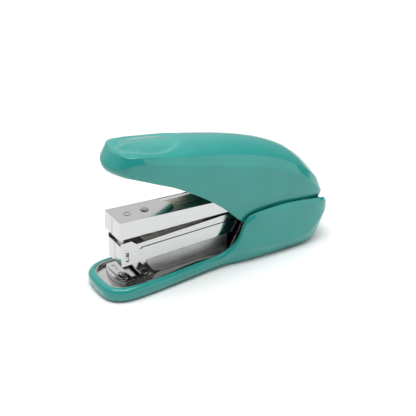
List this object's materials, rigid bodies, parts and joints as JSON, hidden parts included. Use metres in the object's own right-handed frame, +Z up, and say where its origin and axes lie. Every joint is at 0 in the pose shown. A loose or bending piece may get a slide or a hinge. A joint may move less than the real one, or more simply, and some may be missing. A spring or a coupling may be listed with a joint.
{
  "type": "desk stapler",
  "caption": "Compact desk stapler with an arched green handle, a separate bright press arm worked by a roller, a sprung magazine and a clinch anvil on a moulded base.",
  "frame": {"origin": "centre of the bounding box on the desk plane, under the middle of the base", "axes": "+Z up from the desk, -X towards the nose that staples come out of, Y across; the part is symmetric about Y = 0"},
  "size_m": [0.136, 0.036, 0.0789],
  "materials": {
    "green_plastic": "glossy teal-green moulded plastic, slightly pearly",
    "chrome_sheet": "bright nickel-chrome plated sheet",
    "plate_steel": "plated sheet steel, satin",
    "dark_steel": "dull grey steel",
    "pin_steel": "ground steel",
    "spring_steel": "drawn spring wire",
    "bronze_leaf": "bronze-coloured spring strip",
    "black_screw": "blackened steel",
    "foot_rubber": "matt black rubber",
    "pusher_plastic": "moulded black nylon"
  },
  "bodies": {
    "base": {"base_cover": "green_plastic", "base_plate": "plate_steel", "front_foot": "foot_rubber", "rear_foot": "foot_rubber", "base_screws": "black_screw", "anvil_plate": "chrome_sheet", "anvil_pad": "chrome_sheet", "anvil_stud": "chrome_sheet", "magazine_guide": "dark_steel", "guide_rivets": "pin_steel", "lift_spring": "spring_steel", "handle_pin": "pin_steel", "arm_pin": "pin_steel", "pin_clips": "black_screw"},
    "magazine": {"magazine_channel": "chrome_sheet", "staple_rail": "plate_steel", "guide_rod": "pin_steel", "rod_stop": "dark_steel", "pusher_spring": "spring_steel"},
    "pusher": {"staple_pusher": "pusher_plastic"},
    "arm": {"press_arm": "chrome_sheet", "driver_leaf": "bronze_leaf", "driver_blade": "dark_steel", "driver_rivet": "dark_steel", "arm_spring": "spring_steel"},
    "handle": {"handle_cover": "green_plastic", "handle_frame": "plate_steel", "handle_screws": "black_screw", "roller_pin": "pin_steel", "return_spring": "spring_steel"},
    "roller": {"force_roller": "pin_steel"}
  },
  "joints": [
    {"name": "handle_hinge", "type": "hinge", "parent": "base", "child": "handle", "pos_m": [0.03, 0, 0.036], "axis": [0, -1, 0], "range_deg": [0, 22], "stiffness_Nm_per_rad": 0.3, "springref_deg": -20.05, "deforming": ["return_spring"]},
    {"name": "arm_hinge", "type": "hinge", "parent": "base", "child": "arm", "pos_m": [0.052, 0, 0.022], "axis": [0, -1, 0], "range_deg": [0, 8.8], "stiffness_Nm_per_rad": 0.12, "springref_deg": -14.32, "deforming": ["arm_spring"]},
    {"name": "magazine_hinge", "type": "hinge", "parent": "base", "child": "magazine", "pos_m": [0.052, 0, 0.022], "axis": [0, -1, 0], "range_deg": [0, 3], "stiffness_Nm_per_rad": 0.2, "springref_deg": -11.46, "deforming": ["lift_spring"]},
    {"name": "pusher_slide", "type": "slide", "parent": "magazine", "child": "pusher", "axis": [1, 0, 0], "range_m": [0, 0.058], "stiffness_N_per_m": 35, "springref_m": -0.03, "deforming": ["pusher_spring"]},
    {"name": "roller_spin", "type": "hinge", "parent": "handle", "child": "roller", "pos_m": [0.0153, 0, 0.04008], "axis": [0, 1, 0], "continuous": true}
  ],
  "couplings": [
    {"joint": "arm_hinge", "follows": "handle_hinge", "ratio": 0.4},
    {"joint": "magazine_hinge", "follows": "handle_hinge", "ratio": 0.13636}
  ]
}
